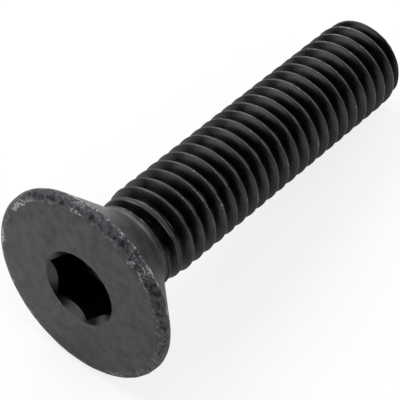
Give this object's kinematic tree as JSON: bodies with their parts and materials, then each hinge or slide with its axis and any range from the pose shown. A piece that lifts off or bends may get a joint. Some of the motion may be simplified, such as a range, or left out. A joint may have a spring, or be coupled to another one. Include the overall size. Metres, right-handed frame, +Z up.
{
  "type": "countersunk socket screw",
  "caption": "Countersunk screw with a flat head, hexagon socket and metric thread down its shank, black-oxide steel.",
  "frame": {"origin": "on the surface that the screw lies on, under the middle of its box", "axes": "+X runs along the screw from head to tip, +Z is up; the axis slopes down to the tip by 7.10 degrees"},
  "size_m": [0.0142, 0.0062, 0.0062],
  "materials": {
    "black_oxide_steel": "black oxide, matt and slightly mottled, worn bright along the edges"
  },
  "bodies": {
    "root": {"screw": "black_oxide_steel"}
  },
  "joints": []
}
